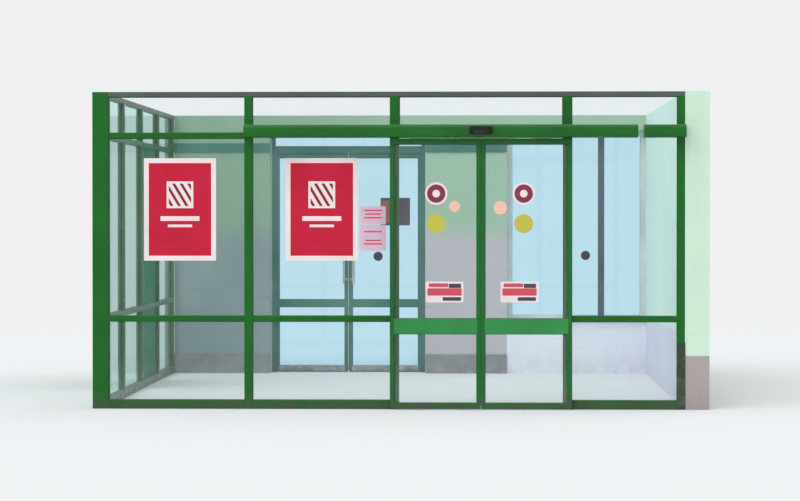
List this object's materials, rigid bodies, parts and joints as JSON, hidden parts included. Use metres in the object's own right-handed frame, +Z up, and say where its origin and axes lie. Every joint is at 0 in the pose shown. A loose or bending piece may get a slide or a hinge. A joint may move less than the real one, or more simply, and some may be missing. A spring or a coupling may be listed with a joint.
{
  "type": "glazed entrance lobby with automatic sliding doors",
  "caption": "Floor-to-ceiling glazed draught lobby in green metal framing, with bi-parting sliding doors towards the shop and a double swing door and window towards the street.",
  "frame": {"origin": "floor level, at the centre of the whole plan", "axes": "+X to the right as seen from the sales hall, +Y from the sales hall to the street, +Z up"},
  "size_m": [5.055, 5.605, 2.6],
  "materials": {
    "green_frame": "satin dark green coating",
    "green_case": "satin dark green coating",
    "green_leaf": "satin green coating",
    "dark_green_frame": "satin dark green coating",
    "grey_frame": "satin grey coating",
    "clear_glass": "clear",
    "bare_metal": "satin",
    "black_plastic": "matte",
    "red_poster": "printed board",
    "pale_green_plaster": "painted plaster",
    "grey_plaster": "painted plaster",
    "white_plaster": "painted plaster",
    "dark_skirting": "matte",
    "white_sill": "satin"
  },
  "bodies": {
    "lobby": {"corner_post": "green_frame", "front_posts": "green_frame", "door_jambs": "green_frame", "head_rails": "green_frame", "transoms": "green_frame", "front_rails": "green_frame", "front_glass": "clear_glass", "fanlight_glass": "clear_glass", "drive_back_plate": "green_case", "drive_top_plate": "green_case", "drive_cover": "green_case", "case_end_piece": "green_case", "case_end_caps": "green_case", "track_bracket": "bare_metal", "track_rail": "bare_metal", "door_sensor": "black_plastic", "floor_guides": "bare_metal", "poster_boards": "red_poster", "side_posts": "green_frame", "side_rails": "green_frame", "side_glass": "clear_glass", "side_panels": "green_frame", "side_wall": "pale_green_plaster", "outer_left_pier": "grey_plaster", "outer_centre_pier": "grey_plaster", "outer_beam": "grey_plaster", "window_parapet": "white_plaster", "skirting": "dark_skirting", "wall_rails": "dark_green_frame", "window_frame": "grey_frame", "window_glass": "clear_glass", "window_sills": "white_sill", "outer_door_frame": "dark_green_frame", "outer_hinges": "bare_metal"},
    "left_leaf": {"left_leaf_frame": "green_leaf", "left_leaf_glass": "clear_glass", "left_leaf_hangers": "bare_metal"},
    "right_leaf": {"right_leaf_frame": "green_leaf", "right_leaf_glass": "clear_glass", "right_leaf_hangers": "bare_metal"},
    "outer_left_door": {"outer_left_leaf": "dark_green_frame", "outer_left_glass": "clear_glass", "outer_left_handles": "bare_metal"},
    "outer_right_door": {"outer_right_leaf": "dark_green_frame", "outer_right_glass": "clear_glass", "outer_right_handles": "bare_metal"}
  },
  "joints": [
    {"name": "left_leaf_slide", "type": "slide", "parent": "lobby", "child": "left_leaf", "axis": [-1, 0, 0], "range_m": [0, 0.664]},
    {"name": "right_leaf_slide", "type": "slide", "parent": "lobby", "child": "right_leaf", "axis": [1, 0, 0], "range_m": [0, 0.664]},
    {"name": "outer_left_hinge", "type": "hinge", "parent": "lobby", "child": "outer_left_door", "pos_m": [-1.4235, 2.7505, 1.1], "axis": [0, 0, 1], "range_deg": [0, 90]},
    {"name": "outer_right_hinge", "type": "hinge", "parent": "lobby", "child": "outer_right_door", "pos_m": [0.0685, 2.7505, 1.1], "axis": [0, 0, -1], "range_deg": [0, 90]}
  ],
  "couplings": [
    {"joint": "right_leaf_slide", "follows": "left_leaf_slide", "ratio": 1}
  ]
}
